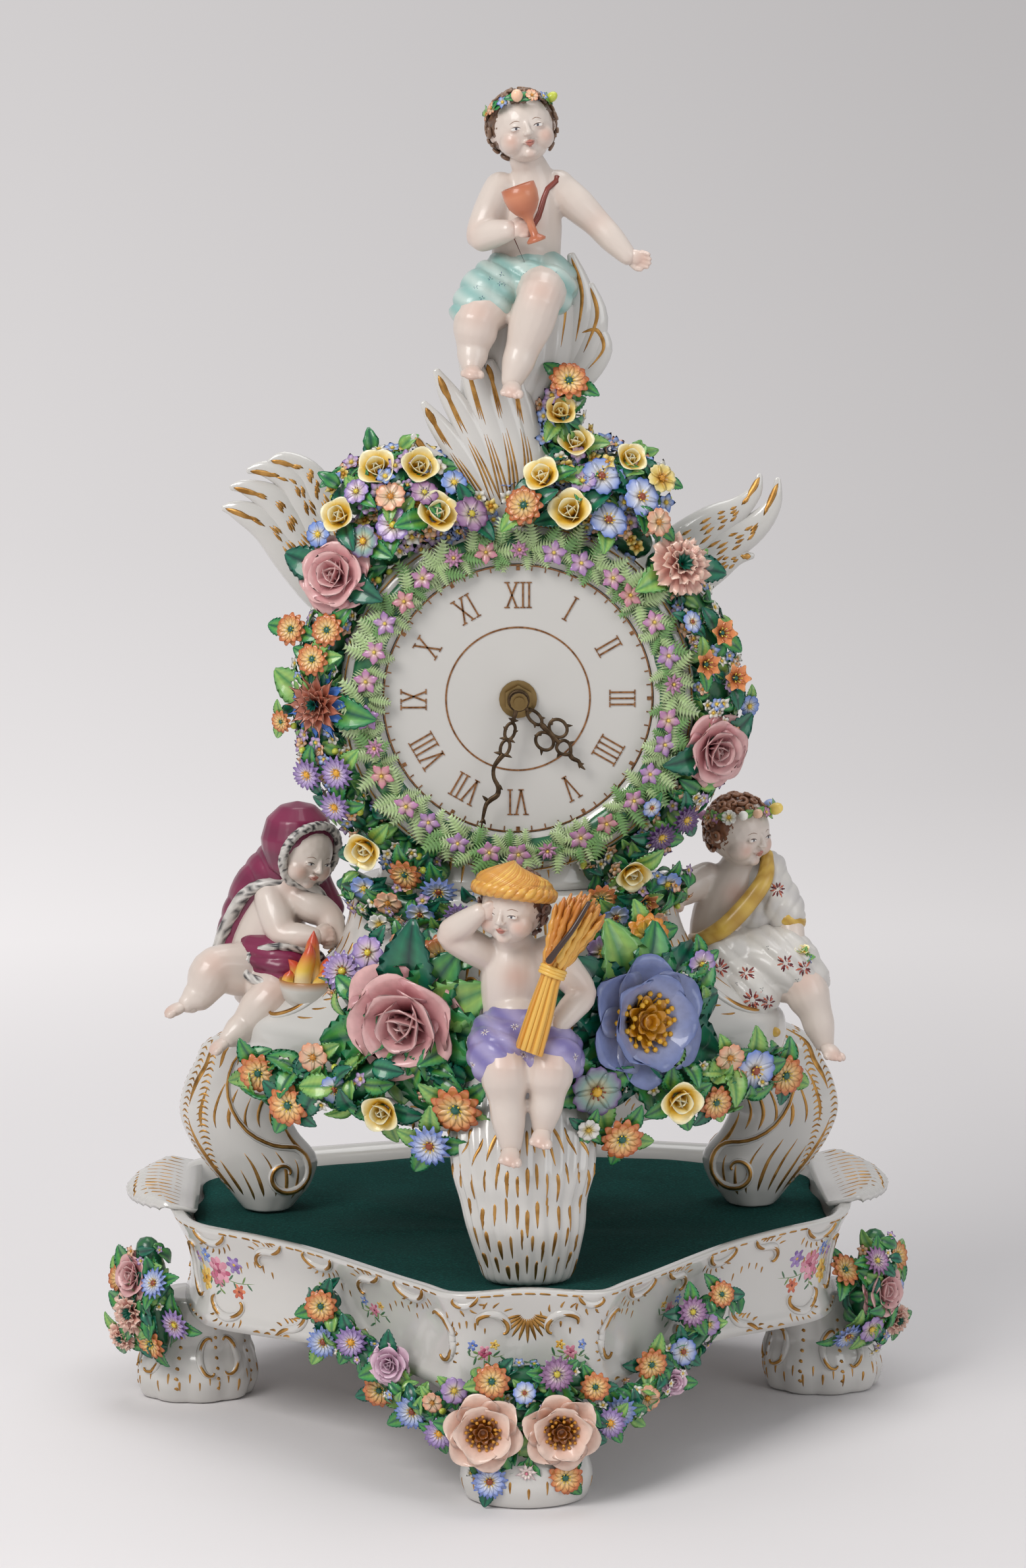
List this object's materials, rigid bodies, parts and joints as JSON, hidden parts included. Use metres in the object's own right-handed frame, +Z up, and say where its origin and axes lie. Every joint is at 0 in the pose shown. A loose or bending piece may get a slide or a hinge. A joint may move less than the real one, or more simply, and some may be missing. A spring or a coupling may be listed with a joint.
{
  "type": "porcelain mantel clock",
  "caption": "Rocaille porcelain mantel clock with season figures, applied flowers, a round dial and a separate footed porcelain stand.",
  "frame": {"origin": "middle of the stand's footprint, on the surface it stands on", "axes": "+Z up; the dial faces -Y; +X is to the right of someone reading the dial"},
  "size_m": [0.3952, 0.3245, 0.6496],
  "materials": {
    "porcelain": "white glazed porcelain with gilt strokes",
    "dial_porcelain": "white glazed porcelain with gilt lines",
    "wreath_glaze": "green and pink glazed porcelain",
    "flower_glaze": "hand-painted glazed porcelain",
    "figure_glaze": "hand-painted glazed porcelain",
    "felt": "napped wool felt",
    "hand_metal": "dark bronzed metal",
    "brass": "aged brass",
    "movement_plastic": "moulded",
    "wheel_plastic": "moulded",
    "rotor_metal": "ground",
    "coil_copper": "lacquered copper wire",
    "board": "lacquered laminate",
    "battery_jacket": "printed sleeve"
  },
  "bodies": {
    "stand": {"stand_wall": "porcelain", "stand_plate": "porcelain", "felt_pad": "felt", "stand_front_foot": "porcelain", "stand_left_foot": "porcelain", "stand_right_foot": "porcelain", "stand_back_left_foot": "porcelain", "stand_back_right_foot": "porcelain", "stand_left_fan": "porcelain", "stand_right_fan": "porcelain", "stand_front_flowers": "flower_glaze", "stand_left_flowers": "flower_glaze", "stand_right_flowers": "flower_glaze", "stand_left_garland": "flower_glaze", "stand_right_garland": "flower_glaze"},
    "clock": {"base_body": "porcelain", "left_scroll_foot": "porcelain", "right_scroll_foot": "porcelain", "front_foot": "porcelain", "drum_case": "porcelain", "crest": "porcelain", "left_wing": "porcelain", "right_wing": "porcelain", "dial": "dial_porcelain", "dial_wreath": "wreath_glaze", "base_left_flowers": "flower_glaze", "base_right_flowers": "flower_glaze", "left_garland": "flower_glaze", "right_garland": "flower_glaze", "crown_left": "flower_glaze", "crown_right": "flower_glaze", "autumn_figure": "figure_glaze", "summer_figure": "figure_glaze", "spring_figure": "figure_glaze", "winter_figure": "figure_glaze", "autumn_goblet": "figure_glaze", "summer_sheaf": "figure_glaze", "winter_brazier": "figure_glaze", "dial_washer": "brass", "dial_nut": "brass", "door_hinge": "brass", "hinge_pin": "brass", "movement_plate": "movement_plastic", "movement_cover": "movement_plastic", "rotor": "rotor_metal", "coil": "coil_copper", "circuit_board": "board"},
    "minute_hand_set": {"minute_wheel": "wheel_plastic", "minute_hand": "hand_metal", "cap_nut": "brass"},
    "hour_hand_set": {"hour_wheel": "wheel_plastic", "hour_hand": "hand_metal"},
    "motion_set": {"motion_wheel": "wheel_plastic", "set_knob": "movement_plastic"},
    "third_wheel_set": {"third_wheel": "wheel_plastic"},
    "battery_cell": {"battery": "battery_jacket"},
    "back_door_set": {"back_door": "brass", "door_knob": "brass"}
  },
  "joints": [
    {"name": "clock_lift", "type": "slide", "parent": "stand", "child": "clock", "axis": [0, 0, 1], "range_m": [0, 0.12]},
    {"name": "minute_spin", "type": "hinge", "parent": "clock", "child": "minute_hand_set", "pos_m": [0, 0, 0.3616], "axis": [0, 1, 0], "continuous": true},
    {"name": "hour_spin", "type": "hinge", "parent": "clock", "child": "hour_hand_set", "pos_m": [0, 0, 0.3616], "axis": [0, 1, 0], "continuous": true},
    {"name": "motion_spin", "type": "hinge", "parent": "clock", "child": "motion_set", "pos_m": [-0.01022, 0, 0.3675], "axis": [0, 1, 0], "continuous": true},
    {"name": "third_wheel_spin", "type": "hinge", "parent": "clock", "child": "third_wheel_set", "pos_m": [0.01041, 0, 0.36539], "axis": [0, 1, 0], "continuous": true},
    {"name": "back_door_swing", "type": "hinge", "parent": "clock", "child": "back_door_set", "pos_m": [-0.0671, 0.0492, 0.3616], "axis": [0, 0, 1], "range_deg": [0, 110]},
    {"name": "battery_out", "type": "slide", "parent": "clock", "child": "battery_cell", "axis": [0, 1, 0], "range_m": [0, 0.018]}
  ],
  "couplings": [
    {"joint": "hour_spin", "follows": "minute_spin", "ratio": 0.083333},
    {"joint": "motion_spin", "follows": "minute_spin", "ratio": -0.33333},
    {"joint": "third_wheel_spin", "follows": "minute_spin", "ratio": -7.5}
  ]
}
